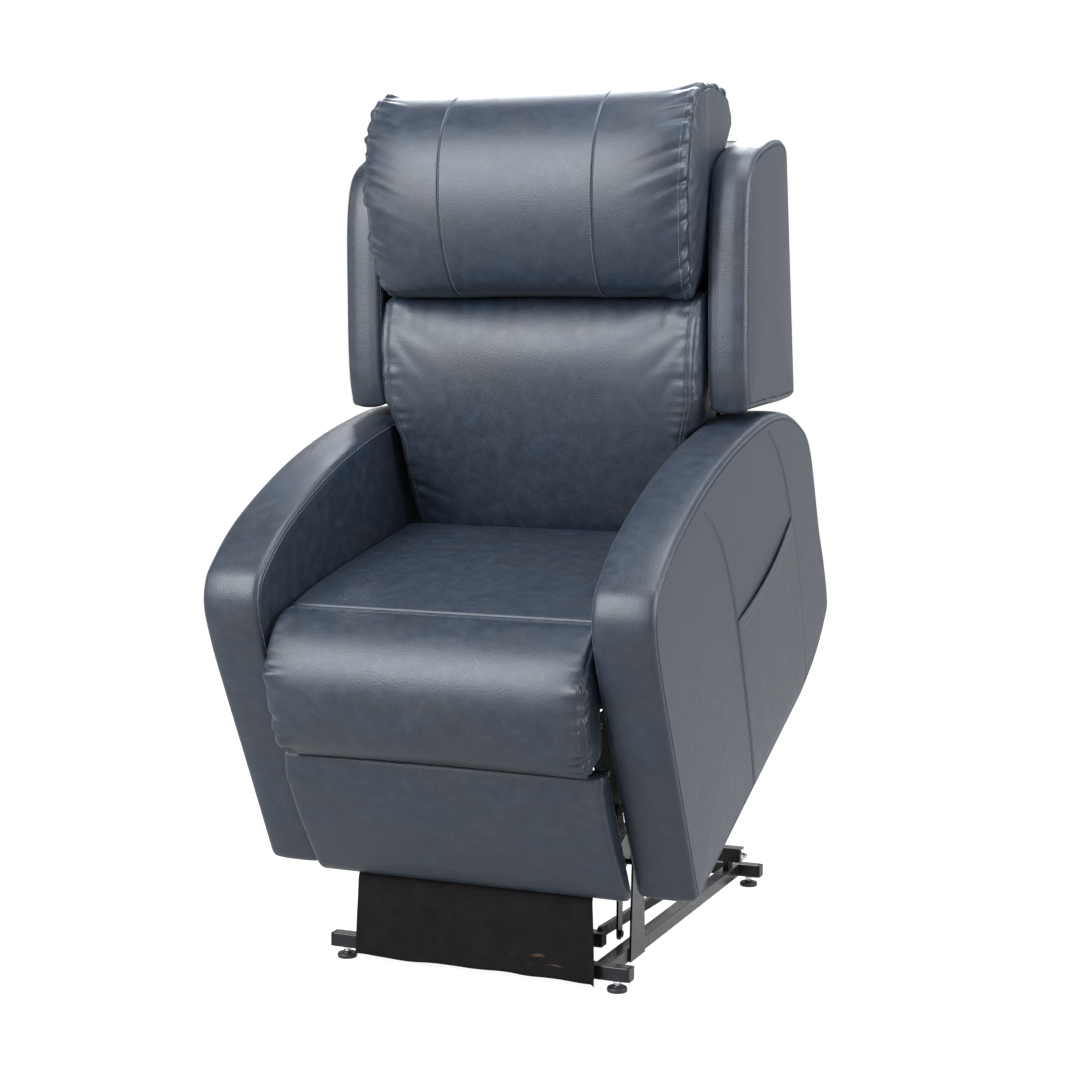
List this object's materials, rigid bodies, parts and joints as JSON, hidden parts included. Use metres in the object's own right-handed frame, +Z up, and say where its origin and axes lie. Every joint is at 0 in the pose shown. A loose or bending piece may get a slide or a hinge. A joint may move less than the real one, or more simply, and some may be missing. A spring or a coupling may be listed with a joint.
{
  "type": "lift recliner chair",
  "caption": "High-backed upholstered lift recliner on a steel lift base, with side wings, head pillow, powered recline and a fold-out footrest, raised and tilted forwards.",
  "frame": {"origin": "centre of the bounding box, on the floor, with the chair raised and tilted forwards", "axes": "+Z up, the chair faces -Y, +X is the sitter's left"},
  "size_m": [0.8254, 1.0746, 1.5797],
  "materials": {
    "frame_steel": "gloss black powder coat",
    "black_plastic": "satin moulded",
    "foot_rubber": "matt",
    "zinc_steel": "zinc plated",
    "motor_casing": "satin moulded",
    "blue_leather": "soft satin coated fabric",
    "black_cloth": "matt woven",
    "plywood": "raw"
  },
  "bodies": {
    "base": {"front_crossbar": "frame_steel", "rear_crossbar": "frame_steel", "end_cap_front_left": "black_plastic", "end_cap_front_right": "black_plastic", "end_cap_rear_left": "black_plastic", "end_cap_rear_right": "black_plastic", "rail_left": "frame_steel", "rail_right": "frame_steel", "tower_plate_left": "frame_steel", "tower_plate_right": "frame_steel", "tower_strap_left": "frame_steel", "tower_strap_right": "frame_steel", "rear_bolt_left": "zinc_steel", "rear_bolt_right": "zinc_steel", "rear_tube": "frame_steel", "inner_frame": "frame_steel", "front_skirt": "black_cloth"},
    "lift_arms": {"lift_arm_left": "frame_steel", "lift_arm_right": "frame_steel", "lift_torque_tube": "frame_steel"},
    "lift_links": {"lift_link_left": "frame_steel", "lift_link_right": "frame_steel"},
    "lift_actuator": {"lift_actuator": "motor_casing"},
    "lift_rod": {"lift_actuator_rod": "zinc_steel"},
    "seat_frame": {"side_frame_left": "frame_steel", "side_frame_right": "frame_steel", "front_stretcher": "frame_steel", "actuator_stretcher": "frame_steel", "rear_stretcher": "frame_steel", "seat_deck": "plywood", "seat_cushion": "blue_leather", "power_box": "black_plastic", "rear_panel": "blue_leather", "arm_left": "blue_leather", "arm_right": "blue_leather"},
    "seat_roll": {"seat_roll": "blue_leather"},
    "footrest_arms": {"footrest_arm_left": "frame_steel", "footrest_arm_right": "frame_steel", "footrest_cross_tube": "frame_steel"},
    "footrest_links": {"footrest_link_left": "frame_steel", "footrest_link_right": "frame_steel"},
    "footrest_panel": {"footrest_panel": "blue_leather", "footrest_bracket_left": "frame_steel", "footrest_bracket_right": "frame_steel"},
    "footrest_actuator": {"footrest_actuator": "motor_casing"},
    "footrest_rod": {"footrest_actuator_rod": "zinc_steel"},
    "back": {"back_board": "plywood", "back_bracket_left": "frame_steel", "back_bracket_right": "frame_steel", "wing_left": "blue_leather", "wing_right": "blue_leather", "lumbar_cushion": "blue_leather", "head_pillow": "blue_leather", "outside_back": "blue_leather"},
    "back_actuator": {"back_actuator": "motor_casing"},
    "back_rod": {"back_actuator_rod": "zinc_steel"},
    "foot_front_left": {"levelling_foot_front_left": "foot_rubber"},
    "foot_front_right": {"levelling_foot_front_right": "foot_rubber"},
    "foot_rear_left": {"levelling_foot_rear_left": "foot_rubber"},
    "foot_rear_right": {"levelling_foot_rear_right": "foot_rubber"}
  },
  "joints": [
    {"name": "lift", "type": "hinge", "parent": "base", "child": "lift_arms", "pos_m": [0, -0.1388, 0.26], "axis": [-1, 0, 0], "range_deg": [0, 70.66], "deforming": ["front_skirt"]},
    {"name": "chair_tilt", "type": "hinge", "parent": "lift_arms", "child": "seat_frame", "pos_m": [0, 0.06422, 0.40794], "axis": [-1, 0, 0], "range_deg": [-48.41, 0]},
    {"name": "lift_link", "type": "hinge", "parent": "base", "child": "lift_links", "pos_m": [0, -0.1388, 0.195], "axis": [-1, 0, 0], "range_deg": [0, 101.35]},
    {"name": "lift_actuator_pivot", "type": "hinge", "parent": "base", "child": "lift_actuator", "pos_m": [0, 0.4112, 0.085], "axis": [-1, 0, 0], "range_deg": [-1.9, 0]},
    {"name": "lift_actuator_stroke", "type": "slide", "parent": "lift_actuator", "child": "lift_rod", "axis": [0, -0.8818, 0.4717], "range_m": [-0.13814, 0]},
    {"name": "footrest", "type": "hinge", "parent": "seat_frame", "child": "footrest_arms", "pos_m": [0, -0.27834, 0.52901], "axis": [-1, 0, 0], "range_deg": [0, 99.66]},
    {"name": "footrest_link", "type": "hinge", "parent": "footrest_arms", "child": "footrest_links", "pos_m": [0, -0.11961, 0.34228], "axis": [-1, 0, 0], "range_deg": [-106.16, 0]},
    {"name": "footrest_tilt", "type": "hinge", "parent": "footrest_links", "child": "footrest_panel", "pos_m": [0, -0.3398, 0.33627], "axis": [-1, 0, 0], "range_deg": [0, 91.5]},
    {"name": "footrest_actuator_pivot", "type": "hinge", "parent": "seat_frame", "child": "footrest_actuator", "pos_m": [0, 0.15844, 0.59196], "axis": [-1, 0, 0], "range_deg": [-1.31, 0]},
    {"name": "footrest_actuator_stroke", "type": "slide", "parent": "footrest_actuator", "child": "footrest_rod", "axis": [0, -0.9749, -0.2226], "range_m": [0, 0.09954]},
    {"name": "seat_roll_swing", "type": "hinge", "parent": "seat_frame", "child": "seat_roll", "pos_m": [0, -0.43257, 0.66787], "axis": [-1, 0, 0], "range_deg": [0, 30.05]},
    {"name": "back_recline", "type": "hinge", "parent": "seat_frame", "child": "back", "pos_m": [0, 0.19162, 0.72716], "axis": [-1, 0, 0], "range_deg": [0, 42]},
    {"name": "back_actuator_pivot", "type": "hinge", "parent": "seat_frame", "child": "back_actuator", "pos_m": [0, -0.11245, 0.56462], "axis": [-1, 0, 0], "range_deg": [0, 1.36]},
    {"name": "back_actuator_stroke", "type": "slide", "parent": "back_actuator", "child": "back_rod", "axis": [0, 0.9635, 0.2676], "range_m": [-0.06095, 0]},
    {"name": "foot_front_left_turn", "type": "hinge", "parent": "base", "child": "foot_front_left", "pos_m": [0.264, -0.2811, 0.005], "axis": [0, 0, 1], "continuous": true},
    {"name": "foot_front_right_turn", "type": "hinge", "parent": "base", "child": "foot_front_right", "pos_m": [-0.264, -0.2811, 0.005], "axis": [0, 0, 1], "continuous": true},
    {"name": "foot_rear_left_turn", "type": "hinge", "parent": "base", "child": "foot_rear_left", "pos_m": [0.264, 0.4948, 0.005], "axis": [0, 0, 1], "continuous": true},
    {"name": "foot_rear_right_turn", "type": "hinge", "parent": "base", "child": "foot_rear_right", "pos_m": [-0.264, 0.4948, 0.005], "axis": [0, 0, 1], "continuous": true}
  ],
  "couplings": [
    {"joint": "chair_tilt", "follows": "lift", "ratio": -0.68441},
    {"joint": "lift_link", "follows": "lift", "ratio": 1.4336},
    {"joint": "lift_actuator_pivot", "follows": "lift", "ratio": -0.02614},
    {"joint": "lift_actuator_stroke", "follows": "lift", "m_per_rad": -0.11161},
    {"joint": "footrest_link", "follows": "footrest", "ratio": -1.0647},
    {"joint": "footrest_tilt", "follows": "footrest", "ratio": 0.91755},
    {"joint": "footrest_actuator_pivot", "follows": "footrest", "ratio": -0.01261},
    {"joint": "footrest_actuator_stroke", "follows": "footrest", "m_per_rad": 0.05694},
    {"joint": "seat_roll_swing", "follows": "footrest", "ratio": 0.30101},
    {"joint": "back_actuator_pivot", "follows": "back_recline", "ratio": 0.03116},
    {"joint": "back_actuator_stroke", "follows": "back_recline", "m_per_rad": -0.08247}
  ]
}
